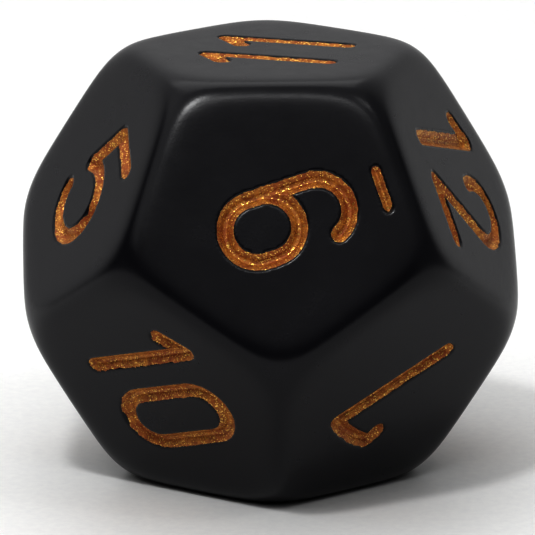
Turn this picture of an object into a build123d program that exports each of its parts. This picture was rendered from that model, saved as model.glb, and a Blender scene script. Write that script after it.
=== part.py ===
from build123d import *
import os
from math import atan, cos, degrees, radians, sin, tan

# A twelve-sided gaming die: one solid moulded body, and the film of paint that lines each engraved character.
# Millimetres. The die rests on the face numbered 2, with 11 uppermost. The origin is the middle of the bottom
# face, +Z is up, and the face numbered 9 looks towards -Y.

# Body
FACE_TO_FACE = 18.0
CORNER_TO_CORNER = 21.7  # tumbling wears the corners back more than the edges
EDGE_ROUNDING = 1.0

# Numerals, measured between the middles of their strokes
TALL = 5.25
WIDE = 2.65
END_RADIUS = WIDE / 2  # a round end is half a circle across the numeral
UNDERLINE_LENGTH = 1.65
UNDERLINE_BELOW = 1.48  # under the foot of a 6 or a 9, so that they can't be mistaken

# Engraved grooves, cut with a conical point
WALL_LEAN = 35.0  # degrees out from straight down
STROKE_WIDTH = 0.76  # across the groove at the face
STROKE_DEPTH = 0.36
UNDERLINE_WIDTH = 0.46
UNDERLINE_DEPTH = 0.22

# Paint
PAINT_THICKNESS = 0.08
PAINT_BELOW_FACE = 0.05

# A regular dodecahedron has two level faces and two rings of five, leaning up and down by the same angle.
INRADIUS = FACE_TO_FACE / 2
RING_TILT = degrees(atan(0.5))
RING_STEP = 360 / 5
BLANK_SIDE = 3 * FACE_TO_FACE
CUTTER_CLEARANCE = 0.2  # how far the cutter's shape goes on above the face

os.makedirs("parts", exist_ok=True)


# One function for each digit's strokes, about the middle of the digit, with +Y up the digit.


def digit_0():
    side = 1.23  # half its width, a little narrower than the other digits
    with BuildLine() as strokes:
        CenterArc((0, TALL / 2 - side), side, 0, 180)
        Line((-side, TALL / 2 - side), (-side, -TALL / 2 + side))
        CenterArc((0, -TALL / 2 + side), side, 180, 180)
        Line((side, -TALL / 2 + side), (side, TALL / 2 - side))
    return strokes.edges()


def digit_1():
    flag_reach = 1.0
    flag_drop = 0.95
    with BuildLine() as strokes:
        Line((0, -TALL / 2), (0, TALL / 2))
        Line((0, TALL / 2), (-flag_reach, TALL / 2 - flag_drop))
    return strokes.edges()


def digit_2():
    tip_angle = 195
    turn_angle = -35  # where the curve runs into the straight stroke
    with BuildLine() as strokes:
        curve = CenterArc((0, TALL / 2 - END_RADIUS), END_RADIUS, turn_angle, tip_angle - turn_angle)
        Line(curve @ 0, (-WIDE / 2, -TALL / 2))
        Line((-WIDE / 2, -TALL / 2), (WIDE / 2, -TALL / 2))
    return strokes.edges()


def digit_3():
    upper_radius = 1.2
    lower_radius = (TALL - 2 * upper_radius) / 2
    tip_swing = 160  # how far each bowl turns back from the waist
    with BuildLine() as strokes:
        CenterArc((0, TALL / 2 - upper_radius), upper_radius, -90, 90 + tip_swing)
        CenterArc((0, -TALL / 2 + lower_radius), lower_radius, 90, -90 - tip_swing)
    return strokes.edges()


def digit_4():
    stem_x = 0.6
    bar_y = -TALL / 4
    with BuildLine() as strokes:
        Line((stem_x, -TALL / 2), (stem_x, TALL / 2))
        Line((stem_x, TALL / 2), (-WIDE / 2, bar_y))
        Line((-WIDE / 2, bar_y), (WIDE / 2, bar_y))
    return strokes.edges()


def digit_5():
    bowl_radius = 1.62
    bowl_start = 139
    bowl_end = -153
    shoulder = (-0.9, TALL / 2 - 0.16)
    with BuildLine() as strokes:
        bowl = CenterArc((0, -TALL / 2 + bowl_radius), bowl_radius, bowl_start, bowl_end - bowl_start)
        Line(bowl @ 0, shoulder)
        Line(shoulder, (WIDE / 2, TALL / 2))
    return strokes.edges()


def digit_7():
    bar_rise = 0.18
    tick_drop = 0.6
    foot = (-0.33 * WIDE, -TALL / 2)
    corner = (WIDE / 2, TALL / 2 - bar_rise)
    bar_end = (-WIDE / 2, TALL / 2 - bar_rise)
    with BuildLine() as strokes:
        Line((-WIDE / 2, TALL / 2 - bar_rise - tick_drop), bar_end)
        ThreePointArc(bar_end, (0, TALL / 2), corner)
        Line(corner, foot)
    return strokes.edges()


def digit_8():
    upper_radius = 1.15
    lower_radius = (TALL - 2 * upper_radius) / 2
    with BuildLine() as strokes:
        CenterArc((0, TALL / 2 - upper_radius), upper_radius, -90, 360)
        CenterArc((0, -TALL / 2 + lower_radius), lower_radius, 90, 360)
    return strokes.edges()


def digit_9():
    bowl_tall = 3.08
    hook_swing = 156
    bowl_low = TALL / 2 - bowl_tall + END_RADIUS
    with BuildLine() as strokes:
        CenterArc((0, TALL / 2 - END_RADIUS), END_RADIUS, 0, 180)
        Line((-END_RADIUS, TALL / 2 - END_RADIUS), (-END_RADIUS, bowl_low))
        CenterArc((0, bowl_low), END_RADIUS, 180, 180)
        Line((END_RADIUS, TALL / 2 - END_RADIUS), (END_RADIUS, -TALL / 2 + END_RADIUS))
        CenterArc((0, -TALL / 2 + END_RADIUS), END_RADIUS, 0, -hook_swing)
    return strokes.edges()


def digit_6():
    return [edge.rotate(Axis.Z, 180) for edge in digit_9()]


def underline():
    foot = -TALL / 2 - UNDERLINE_BELOW
    with BuildLine() as strokes:
        Line((-UNDERLINE_LENGTH / 2, foot), (UNDERLINE_LENGTH / 2, foot))
    return strokes.edges()


def cutter_sweep(edges, width, top, bottom, inset=0.0):
    """The space a conical point passes through as it follows the edges, between two heights above the face."""
    slope = tan(radians(WALL_LEAN))
    half = width / 2 - inset / cos(radians(WALL_LEAN))
    top_half = half + top * slope
    bottom_half = half + bottom * slope
    with BuildPart() as swept:
        for edge in edges:
            start = edge @ 0
            along = edge % 0
            with BuildSketch(Plane(start, x_dir=along.cross(Vector(0, 0, 1)), z_dir=-along)):
                with BuildLine():
                    Polyline(
                        (-bottom_half, bottom),
                        (bottom_half, bottom),
                        (top_half, top),
                        (-top_half, top),
                        close=True,
                    )
                make_face()
            if edge.geom_type == GeomType.LINE:
                extrude(amount=-edge.length)
            else:
                centre = edge.arc_center
                way = 1 if (start - centre).cross(along).Z > 0 else -1
                swing = min(degrees(edge.length / edge.radius), 360)
                revolve(axis=Axis(centre, (0, 0, way)), revolution_arc=swing)
            if edge.is_closed:
                continue
            for tip in (edge @ 0, edge @ 1):
                with BuildSketch(Plane(tip, x_dir=(1, 0, 0), z_dir=(0, -1, 0))):
                    with BuildLine():
                        Polyline((0, bottom), (bottom_half, bottom), (top_half, top), (0, top), close=True)
                    make_face()
                revolve(axis=Axis(tip, (0, 0, 1)))
    return swept.part


def face_plane(azimuth, elevation, turn, shift):
    """The plane of one face, seen from outside, turned so that +Y runs up its numeral."""
    across = Vector(-sin(radians(azimuth)), cos(radians(azimuth)), 0)
    outward = Vector(
        cos(radians(azimuth)) * cos(radians(elevation)),
        sin(radians(azimuth)) * cos(radians(elevation)),
        sin(radians(elevation)),
    )
    across = across.rotate(Axis((0, 0, 0), outward), turn)
    face = Plane(Vector(0, 0, INRADIUS) + outward * INRADIUS, x_dir=across, z_dir=outward)
    return Plane(face.from_local_coords(Vector(*shift, 0)), x_dir=across, z_dir=outward)


# Each number: the azimuth and elevation its face looks in, the turn of its numeral from upright, and how far
# the numeral stands off the middle of the face, along and up itself. Opposite faces add up to 13. A numeral's
# head points to a corner of its face, so turns go by fifths of a circle.
FRONT = -90
LOWER_FRONT = FRONT + RING_STEP / 2
NUMBERS = {
    11: (FRONT, 90, RING_STEP, (0.0, -0.2)),
    9: (FRONT, RING_TILT, 1.5 * RING_STEP, (-0.3, -0.3)),
    12: (FRONT + RING_STEP, RING_TILT, -1.5 * RING_STEP, (0.0, 0.3)),
    3: (FRONT + 2 * RING_STEP, RING_TILT, 0.5 * RING_STEP, (0.0, 0.0)),
    6: (FRONT - 2 * RING_STEP, RING_TILT, -0.5 * RING_STEP, (0.0, 0.0)),
    5: (FRONT - RING_STEP, RING_TILT, -0.5 * RING_STEP, (0.3, 0.2)),
    7: (LOWER_FRONT, -RING_TILT, 2 * RING_STEP, (0.0, -0.2)),
    8: (LOWER_FRONT + RING_STEP, -RING_TILT, -RING_STEP, (0.0, 0.0)),
    4: (LOWER_FRONT + 2 * RING_STEP, -RING_TILT, RING_STEP, (0.0, 0.0)),
    1: (LOWER_FRONT - 2 * RING_STEP, -RING_TILT, 2 * RING_STEP, (0.0, 0.0)),
    10: (LOWER_FRONT - RING_STEP, -RING_TILT, -RING_STEP, (0.0, 0.1)),
    2: (FRONT, -90, 0, (0.0, 0.0)),
}
DIGITS = {
    "0": digit_0,
    "1": digit_1,
    "2": digit_2,
    "3": digit_3,
    "4": digit_4,
    "5": digit_5,
    "6": digit_6,
    "7": digit_7,
    "8": digit_8,
    "9": digit_9,
}

# How far the two digits of a number stand from its middle, by its second digit
PAIR_PLACES = {"0": (-1.9, 1.15), "1": (-1.1, 1.85), "2": (-1.8, 1.4)}


def placed(edges, distance):
    """The edges moved along the numeral's own X."""
    return [edge.moved(Location((distance, 0, 0))) for edge in edges]


# Every engraved character: its name, the plane of its face, its strokes, and the width and depth of its groove
engravings = []
for number, (azimuth, elevation, turn, shift) in NUMBERS.items():
    plane = face_plane(azimuth, elevation, turn, shift)
    digits = str(number)
    stroke = (STROKE_WIDTH, STROKE_DEPTH)
    if len(digits) == 1:
        engravings.append((f"numeral_{number}", plane, DIGITS[digits](), stroke))
    else:
        tens_x, units_x = PAIR_PLACES[digits[1]]
        engravings.append((f"numeral_{number}_tens", plane, placed(DIGITS[digits[0]](), tens_x), stroke))
        engravings.append((f"numeral_{number}_units", plane, placed(DIGITS[digits[1]](), units_x), stroke))
    if number in (6, 9):
        bar = (UNDERLINE_WIDTH, UNDERLINE_DEPTH)
        engravings.append((f"numeral_{number}_underline", plane, underline(), bar))

grooves = [
    (plane, cutter_sweep(edges, width, CUTTER_CLEARANCE, -depth))
    for name, plane, edges, (width, depth) in engravings
]

# The body: a block cut back to twelve faces, its corners and edges worn, then engraved.
centre = Vector(0, 0, INRADIUS)
with BuildPart() as die_body:
    with Locations(centre):
        Box(BLANK_SIDE, BLANK_SIDE, BLANK_SIDE)
    for azimuth, elevation, turn, shift in NUMBERS.values():
        split(bisect_by=face_plane(azimuth, elevation, 0, (0, 0)), keep=Keep.BOTTOM)
    for corner in die_body.vertices():
        outward = (Vector(corner) - centre).normalized()
        split(bisect_by=Plane(centre + outward * CORNER_TO_CORNER / 2, z_dir=outward), keep=Keep.BOTTOM)
    fillet(die_body.edges(), radius=EDGE_ROUNDING)
    for plane, groove in grooves:
        with Locations(plane):
            add(groove, mode=Mode.SUBTRACT)

die_body.part.label = "die_body"
export_step(die_body.part, "parts/die_body.step")

# The paint: a film on the floor and walls of each groove, open along the top like a trough.
for name, plane, edges, (width, depth) in engravings:
    film_outside = cutter_sweep(edges, width, -PAINT_BELOW_FACE, -depth)
    film_inside = cutter_sweep(edges, width, CUTTER_CLEARANCE, PAINT_THICKNESS - depth, PAINT_THICKNESS)
    with BuildPart() as paint:
        with Locations(plane):
            add(film_outside)
            add(film_inside, mode=Mode.SUBTRACT)
    paint.part.label = f"{name}_paint"
    export_step(paint.part, f"parts/{paint.part.label}.step")
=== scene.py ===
import math

import bpy
import numpy as np
from mathutils import Matrix, Vector, noise
from mathutils.bvhtree import BVHTree


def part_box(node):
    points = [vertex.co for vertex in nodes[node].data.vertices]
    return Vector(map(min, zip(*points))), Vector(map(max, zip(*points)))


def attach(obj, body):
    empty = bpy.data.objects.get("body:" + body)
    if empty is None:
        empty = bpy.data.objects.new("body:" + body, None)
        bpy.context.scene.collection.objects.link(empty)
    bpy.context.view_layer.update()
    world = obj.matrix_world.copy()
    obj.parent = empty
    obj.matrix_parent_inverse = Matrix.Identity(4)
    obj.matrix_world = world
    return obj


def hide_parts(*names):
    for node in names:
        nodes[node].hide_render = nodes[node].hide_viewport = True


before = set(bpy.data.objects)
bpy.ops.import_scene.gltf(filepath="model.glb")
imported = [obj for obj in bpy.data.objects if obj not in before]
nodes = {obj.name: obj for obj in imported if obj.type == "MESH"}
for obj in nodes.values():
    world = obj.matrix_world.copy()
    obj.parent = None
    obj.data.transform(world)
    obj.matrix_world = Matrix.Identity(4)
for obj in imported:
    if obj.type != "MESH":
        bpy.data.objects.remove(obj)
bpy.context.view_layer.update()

# A twelve-sided die in worn black plastic, with orange-gold paint in its engraved numerals.
# The frame is in metres. Shapes are worked out in millimetres and turned to metres at the end.

MM = 0.001
PER_MM = 1000.0

body_low, body_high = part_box("die_body")
INRADIUS = (body_high.z - body_low.z) / 2 * PER_MM
CENTRE = np.array([0.0, 0.0, INRADIUS])

# The twelve outward directions of the faces
RING_TILT = math.atan(0.5)
ring = [(-90 + 72 * k, RING_TILT) for k in range(5)] + [(-54 + 72 * k, -RING_TILT) for k in range(5)]
FACES = np.array(
    [(0.0, 0.0, 1.0), (0.0, 0.0, -1.0)]
    + [
        (
            math.cos(math.radians(azimuth)) * math.cos(tilt),
            math.sin(math.radians(azimuth)) * math.cos(tilt),
            math.sin(tilt),
        )
        for azimuth, tilt in ring
    ]
)


def evaluated_mesh(obj):
    """The object's vertices in millimetres and its faces, after its modifiers."""
    graph = bpy.context.evaluated_depsgraph_get()
    shown = obj.evaluated_get(graph)
    mesh = shown.to_mesh()
    points = np.empty(len(mesh.vertices) * 3)
    mesh.vertices.foreach_get("co", points)
    polygons = [tuple(p.vertices) for p in mesh.polygons]
    shown.to_mesh_clear()
    return points.reshape(-1, 3), polygons


def remeshed(node, voxel):
    """A copy of a CAD node's surface as an even net of small faces, in millimetres."""
    mesh = nodes[node].data.copy()
    mesh.transform(Matrix.Scale(PER_MM, 4))
    temporary = bpy.data.objects.new("temporary", mesh)
    bpy.context.scene.collection.objects.link(temporary)
    modifier = temporary.modifiers.new("voxels", "REMESH")
    modifier.mode = "VOXEL"
    modifier.voxel_size = voxel
    points, polygons = evaluated_mesh(temporary)
    bpy.data.objects.remove(temporary)
    bpy.data.meshes.remove(mesh)
    return points, polygons


def neighbours(polygons, count):
    """Each edge of the net both ways round, and how many edges meet at each point."""
    quads = np.array([p if len(p) == 4 else (*p, p[0]) for p in polygons])
    pairs = np.concatenate([quads[:, [k, (k + 1) % 4]] for k in range(4)])
    pairs = pairs[pairs[:, 0] != pairs[:, 1]]
    pairs = np.unique(np.sort(pairs, axis=1), axis=0)
    both = np.concatenate([pairs, pairs[:, ::-1]])
    return both, np.bincount(both[:, 0], minlength=count).reshape(-1, 1)


PULL = 0.5  # how far each round of smoothing draws a point towards its neighbours
PUSH_BACK = 0.96  # the share of that pull which is undone, so that nothing shrinks


def smoothed(points, links, rounds, weight=1.0):
    """The points after some rounds of smoothing, as strong at each point as its weight."""
    pairs, degree = links
    for _ in range(rounds):
        for step in (PULL, -PULL * PUSH_BACK):
            total = np.zeros_like(points)
            for axis in range(3):
                total[:, axis] = np.bincount(
                    pairs[:, 0], weights=points[pairs[:, 1], axis], minlength=len(points)
                )
            points = points + weight * step * (total / degree - points)
    return points


def grain(points, scale, seed):
    """Smooth noise from -1 to 1 at each point, in lumps of about the given size in millimetres."""
    offset = Vector((17.1 * seed, -9.3 * seed, 5.7 * seed))
    return np.array([noise.noise(Vector(p) / scale + offset) for p in points])


def made_object(name, points, polygons, material, slot, replaced):
    """A smooth-shaded piece that takes the place of one CAD node."""
    mesh = bpy.data.meshes.new(name)
    mesh.from_pydata((points * MM).tolist(), [], polygons)
    mesh.validate()
    mesh.update()
    mesh.shade_smooth()
    obj = bpy.data.objects.new(name, mesh)
    bpy.context.scene.collection.objects.link(obj)
    mesh.materials.append(material)
    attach(obj, "root")
    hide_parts(replaced)
    return obj


# ---------------------------------------------------------------- the worn body

EDGE_SHARPNESS = 40.0  # of the blend between neighbouring faces; lower is rounder
CORNER_RADIUS = 10.83
CORNER_SHARPNESS = 62.0
BODY_VOXEL = 0.08
ENGRAVED_REACH = 5.1  # from the middle of a face; no groove goes further out
GROOVE_FROM = 0.02  # anything this far under a face belongs to a groove
GROOVE_SLACK = 0.004  # a point this little under a face is taken as level with it
RIM_RINGS = 2  # how many points round each groove are softened with it


def outer_radius(directions):
    """How far the worn, unengraved surface is from the middle of the die."""
    closeness = np.clip(directions @ FACES.T, 0.0, None)
    nearest = closeness.max(axis=1)
    share = (closeness / nearest[:, None]) ** EDGE_SHARPNESS
    faceted = INRADIUS / nearest * share.sum(axis=1) ** (-1 / EDGE_SHARPNESS)
    rounded = (CORNER_RADIUS / faceted) ** -CORNER_SHARPNESS
    return faceted * (1 + rounded) ** (-1 / CORNER_SHARPNESS)


def worn_body():
    """The CAD body with its edges, corners and groove rims worn soft."""
    points, polygons = remeshed("die_body", BODY_VOXEL)
    links = neighbours(polygons, len(points))
    spokes = points - CENTRE
    height = (spokes @ FACES.T).max(axis=1)
    under = INRADIUS - height
    inside = (spokes**2).sum(axis=1) - height**2 < ENGRAVED_REACH**2
    groove = inside & (under > GROOVE_FROM)
    soft = groove.astype(float).reshape(-1, 1)
    pairs = links[0]
    for _ in range(RIM_RINGS):
        spread = np.bincount(pairs[:, 0], weights=soft[pairs[:, 1], 0], minlength=len(soft))
        soft = np.clip(soft + spread.reshape(-1, 1), 0, 1)
    groove_near = inside & (soft[:, 0] > 0)
    relaxed = smoothed(points, links, 2, soft)
    spokes = relaxed - CENTRE
    length = np.linalg.norm(spokes, axis=1)
    directions = spokes / length[:, None]
    outer = outer_radius(directions)
    height = (spokes @ FACES.T).max(axis=1)
    sunk = np.where(groove_near, np.clip(INRADIUS - height - GROOVE_SLACK, 0, None), 0.0)
    radius = outer - sunk * length / height
    return CENTRE + directions * radius[:, None], polygons


# ---------------------------------------------------------------- the paint


def wall_tree():
    """The engraved surface of the CAD body, in millimetres, to measure distances from."""
    mesh = nodes["die_body"].data
    points = [v.co * PER_MM for v in mesh.vertices]
    return BVHTree.FromPolygons(points, [tuple(p.vertices) for p in mesh.polygons])


PAINT_VOXEL = 0.035
RIM_REACH = 0.16  # how far down the wall the film thins out towards its upper edge
RIM_SPREAD = 0.06  # how far the paint is smeared out over the worn rim
RIM_LIFT = 0.04  # how far the upper edge is raised, on average
RIM_THINNING = 1.2  # how fast the film slopes away towards that edge
BELOW_FACE = 0.006  # the least depth of any paint
groove_walls = wall_tree()


def paint_film(node, seed):
    """The film that lines one groove: lumpy, and thinning to nothing at an uneven upper edge."""
    points, polygons = remeshed(node, PAINT_VOXEL)
    points = smoothed(points, neighbours(polygons, len(points)), 2)
    face = FACES[np.argmax(((points - CENTRE) @ FACES.T).max(axis=0))]
    depth = INRADIUS - (points - CENTRE) @ face
    nearest = [groove_walls.find_nearest(Vector(p)) for p in points]
    off_wall = np.array([hit[3] for hit in nearest])
    outward = -np.array([hit[1] for hit in nearest])
    outward -= (outward @ face)[:, None] * face
    thickness = off_wall.max()
    near_rim = np.clip(1 - (depth - depth.min()) / RIM_REACH, 0, 1)
    bare = np.clip(grain(points, 0.8, seed) - 0.6, 0, 1)
    edge = RIM_LIFT + 0.018 * grain(points, 0.35, seed + 20) - 0.2 * bare
    lumps = 0.014 * grain(points, 0.35, seed + 40) + 0.007 * grain(points, 0.12, seed + 60)
    lift = near_rim * (edge - RIM_THINNING * off_wall) + lumps * off_wall / thickness
    lift = np.minimum(lift, depth - BELOW_FACE)
    spread = RIM_SPREAD * near_rim * (1 - off_wall / thickness)
    return points + face * lift[:, None] + outward * spread[:, None], polygons


# ---------------------------------------------------------------- materials
# The scale of each noise is in lumps per metre, so 1000 gives patches of about a millimetre.


class Nodes:
    """A short way to write a node tree."""

    def __init__(self, tree):
        self.tree = tree
        tree.nodes.clear()

    def add(self, kind, inputs=None, **settings):
        node = self.tree.nodes.new(kind)
        for key, value in settings.items():
            setattr(node, key, value)
        for key, value in (inputs or {}).items():
            if isinstance(value, bpy.types.NodeSocket):
                self.tree.links.new(value, node.inputs[key])
            else:
                node.inputs[key].default_value = value
        return node

    def noise(self, where, scale, detail=2.0, rough=0.5):
        settings = {"Vector": where, "Scale": scale, "Detail": detail, "Roughness": rough}
        return self.add("ShaderNodeTexNoise", settings).outputs["Fac"]

    def math(self, operation, a, b=0.0):
        return self.add("ShaderNodeMath", {0: a, 1: b}, operation=operation).outputs[0]

    def ranged(self, value, low, high, to_low, to_high):
        """The value's range from low to high, spread over the range from to_low to to_high."""
        limits = {"From Min": low, "From Max": high, "To Min": to_low, "To Max": to_high}
        return self.add("ShaderNodeMapRange", {"Value": value, **limits}).outputs["Result"]

    def blend(self, factor, a, b):
        node = self.add("ShaderNodeMix", data_type="RGBA")
        for key, value in ((0, factor), (6, a), (7, b)):
            if isinstance(value, bpy.types.NodeSocket):
                self.tree.links.new(value, node.inputs[key])
            else:
                node.inputs[key].default_value = value
        return node.outputs[2]


def new_material(name):
    material = bpy.data.materials.new(name)
    material.use_nodes = True
    return material, Nodes(material.node_tree)


def black_plastic():
    """Near-black satin plastic, cloudy from tumbling, with a fine grain and a faint waviness."""
    material, n = new_material("black_plastic")
    where = n.add("ShaderNodeTexCoord").outputs["Object"]
    cloud = n.noise(where, 320.0, 4.0, 0.6)
    haze = n.noise(where, 1400.0, 3.0, 0.6)
    grain_height = n.noise(where, 9000.0, 3.0, 0.6)
    wave_height = n.noise(where, 900.0, 2.0)
    darker, lighter = (0.0085, 0.0082, 0.0115, 1), (0.0110, 0.0108, 0.0145, 1)
    colour = n.blend(n.ranged(cloud, 0.35, 0.7, 0.0, 1.0), darker, lighter)
    roughness = n.math(
        "ADD", n.ranged(cloud, 0.3, 0.7, 0.22, 0.27), n.ranged(haze, 0.3, 0.7, -0.02, 0.02)
    )
    grained = n.add(
        "ShaderNodeBump", {"Height": grain_height, "Strength": 0.16, "Distance": 0.00002}
    ).outputs[0]
    waved = n.add(
        "ShaderNodeBump",
        {"Height": wave_height, "Strength": 0.10, "Distance": 0.00004, "Normal": grained},
    ).outputs[0]
    shader = n.add(
        "ShaderNodeBsdfPrincipled",
        {"Base Color": colour, "Roughness": roughness, "IOR": 1.45, "Normal": waved},
    )
    n.add("ShaderNodeOutputMaterial", {"Surface": shader.outputs[0]})
    return material


def gold_paint():
    """Orange-gold paint: brown to orange, redder in places, with small metallic flakes."""
    material, n = new_material("orange_gold_paint")
    where = n.add("ShaderNodeTexCoord").outputs["Object"]
    drift = n.noise(where, 1000.0, 2.0, 0.5)
    blotch = n.noise(where, 3200.0, 3.0, 0.6)
    fine = n.noise(where, 14000.0, 2.0, 0.6)
    cells = n.add("ShaderNodeTexVoronoi", {"Vector": where, "Scale": 22000.0}, feature="F1")
    chance = n.add("ShaderNodeSeparateColor", {"Color": cells.outputs["Color"]})

    brown, orange = (0.28, 0.088, 0.020, 1), (0.60, 0.270, 0.058, 1)
    red, gold = (0.34, 0.070, 0.018, 1), (0.90, 0.64, 0.20, 1)
    tone = n.math("ADD", n.math("MULTIPLY", blotch, 0.7), n.math("MULTIPLY", fine, 0.3))
    base = n.blend(n.ranged(tone, 0.38, 0.62, 0.0, 1.0), brown, orange)
    base = n.blend(n.ranged(drift, 0.42, 0.62, 0.0, 0.5), base, red)
    flake = n.ranged(chance.outputs[0], 0.82, 0.94, 0.0, 1.0)
    colour = n.blend(flake, base, gold)

    height = n.math(
        "ADD", n.math("MULTIPLY", fine, 0.5), n.math("MULTIPLY", chance.outputs[1], 0.5)
    )
    bump = n.add("ShaderNodeBump", {"Height": height, "Strength": 0.35, "Distance": 0.00003})
    shader = n.add(
        "ShaderNodeBsdfPrincipled",
        {
            "Base Color": colour,
            "Metallic": n.ranged(flake, 0.0, 1.0, 0.2, 1.0),
            "Roughness": n.ranged(flake, 0.0, 1.0, 0.48, 0.28),
            "Normal": bump.outputs[0],
        },
    )
    n.add("ShaderNodeOutputMaterial", {"Surface": shader.outputs[0]})
    return material


def pale_floor():
    material, n = new_material("pale_table")
    where = n.add("ShaderNodeTexCoord").outputs["Object"]
    fibre = n.noise(where, 2500.0, 3.0, 0.7)
    darker, lighter = (0.85, 0.85, 0.85, 1), (0.90, 0.90, 0.89, 1)
    colour = n.blend(n.ranged(fibre, 0.3, 0.7, 0.0, 1.0), darker, lighter)
    shader = n.add(
        "ShaderNodeBsdfPrincipled", {"Base Color": colour, "Roughness": 0.7, "IOR": 1.3}
    )
    n.add("ShaderNodeOutputMaterial", {"Surface": shader.outputs[0]})
    return material


# ---------------------------------------------------------------- building

plastic = black_plastic()
paint = gold_paint()

made_object("worn_body", *worn_body(), plastic, "black_plastic", "die_body")

paint_nodes = sorted(name for name in nodes if name.endswith("_paint"))
for seed, name in enumerate(paint_nodes, start=1):
    film_name = name.replace("_paint", "_brushed")
    made_object(film_name, *paint_film(name, seed), paint, "orange_gold_paint", name)

# ---------------------------------------------------------------- floor, light and camera

FLOOR_HALF = 1.2
FLOOR_GAP = 0.00001
floor_mesh = bpy.data.meshes.new("table")
floor_mesh.from_pydata(
    [(x * FLOOR_HALF, y * FLOOR_HALF, -FLOOR_GAP) for x, y in ((-1, -1), (1, -1), (1, 1), (-1, 1))],
    [],
    [(0, 1, 2, 3)],
)
floor = bpy.data.objects.new("table", floor_mesh)
bpy.context.scene.collection.objects.link(floor)
floor_mesh.materials.append(pale_floor())

MIDDLE = Vector(CENTRE * MM)


def direction(azimuth, elevation):
    """The way from the die to something seen at that azimuth, round from the front, and elevation."""
    a, e = math.radians(azimuth), math.radians(elevation)
    return Vector((math.sin(a) * math.cos(e), -math.cos(a) * math.cos(e), math.sin(e)))


LAMP_DISTANCE = 0.5


def area_light(name, azimuth, elevation, width, height, watts):
    """A white rectangular lamp that faces the die."""
    data = bpy.data.lights.new(name, "AREA")
    data.shape = "RECTANGLE"
    data.size, data.size_y = width, height
    data.energy = watts
    lamp = bpy.data.objects.new(name, data)
    bpy.context.scene.collection.objects.link(lamp)
    way_out = direction(azimuth, elevation)
    lamp.location = MIDDLE + way_out * LAMP_DISTANCE
    lamp.rotation_euler = (-way_out).to_track_quat("-Z", "Y").to_euler()


area_light("overhead", -170, 58, 0.40, 0.34, 0.55)
area_light("glint", -27, 60, 0.05, 0.04, 0.7)
area_light("window", -8, 54, 0.34, 0.03, 0.4)
area_light("faint", 50, 58, 0.05, 0.04, 0.1)

# The room round the die: brightest to the left, then overhead and behind, dark low in front
OVERHEAD = 0.85
BEHIND_HIGH, BEHIND_LOW = 0.80, 0.74
LEFT_HIGH, LEFT_LOW = 1.38, 0.0
RIGHT_HIGH, RIGHT_LOW = 0.42, 0.12
FRONT_HIGH = 0.6

world = bpy.data.worlds.new("room")
bpy.context.scene.world = world
world.use_nodes = True
w = Nodes(world.node_tree)
way = w.add("ShaderNodeSeparateXYZ", {"Vector": w.add("ShaderNodeTexCoord").outputs["Generated"]})
rightward, height = way.outputs["X"], way.outputs["Z"]
flat_square = w.math("SUBTRACT", 1.0, w.math("MULTIPLY", height, height))
flat_length = w.math("SQRT", w.math("MAXIMUM", flat_square, 0.0001))
backward = w.math("DIVIDE", way.outputs["Y"], flat_length)

overhead = w.ranged(height, 0.82, 0.91, 0.0, 1.0)
low = w.ranged(height, 0.42, 0.58, 1.0, 0.0)
high = w.math("SUBTRACT", w.math("SUBTRACT", 1.0, overhead), low)
behind = w.ranged(backward, 0.35, 0.65, 0.0, 1.0)
in_front = w.ranged(backward, -0.85, -0.65, 1.0, 0.0)
not_in_front = w.ranged(backward, -0.85, -0.65, 0.0, 1.0)
beside = w.math("MULTIPLY", w.math("SUBTRACT", 1.0, behind), not_in_front)
beside_high = w.math("MULTIPLY", beside, w.ranged(rightward, -0.1, 0.1, LEFT_HIGH, RIGHT_HIGH))
beside_low = w.math("MULTIPLY", beside, w.ranged(rightward, -0.1, 0.1, LEFT_LOW, RIGHT_LOW))

level = w.math("MULTIPLY", in_front, w.math("MULTIPLY", high, FRONT_HIGH))
for region, share, strength in (
    (overhead, 1.0, OVERHEAD),
    (high, behind, BEHIND_HIGH),
    (high, beside_high, 1.0),
    (low, behind, BEHIND_LOW),
    (low, beside_low, 1.0),
):
    part = w.math("MULTIPLY", w.math("MULTIPLY", region, share), strength)
    level = w.math("ADD", part, level)
room = w.add("ShaderNodeBackground", {"Color": (1, 1, 1, 1), "Strength": level})
w.add("ShaderNodeOutputWorld", {"Surface": room.outputs[0]})

# Fitted to the die's outline and numerals in the photo
CAMERA_AZIMUTH, CAMERA_ELEVATION = -2.405, 15.470
CAMERA_DISTANCE = 0.3
LENS_MM = 479.15
YAW, PITCH, ROLL = 0.018, -0.073, 0.105

camera_data = bpy.data.cameras.new("camera")
camera_data.lens = LENS_MM
camera_data.sensor_width = 36.0
camera_data.clip_start, camera_data.clip_end = 0.01, 10.0
camera = bpy.data.objects.new("camera", camera_data)
bpy.context.scene.collection.objects.link(camera)
away = direction(CAMERA_AZIMUTH, CAMERA_ELEVATION)
camera.location = MIDDLE + away * CAMERA_DISTANCE
camera.rotation_mode = "QUATERNION"
looking = (-away).to_track_quat("-Z", "Y").to_matrix()
aim = (
    Matrix.Rotation(math.radians(YAW), 3, "Y")
    @ Matrix.Rotation(math.radians(PITCH), 3, "X")
    @ Matrix.Rotation(math.radians(ROLL), 3, "Z")
)
camera.rotation_quaternion = (looking @ aim).to_quaternion()
bpy.context.scene.camera = camera

# The photo's tone curve is steep, with deep blacks beside a white table
TONE_GAMMA = 0.63
bpy.context.scene.view_settings.view_transform = "Standard"
bpy.context.scene.view_settings.gamma = TONE_GAMMA
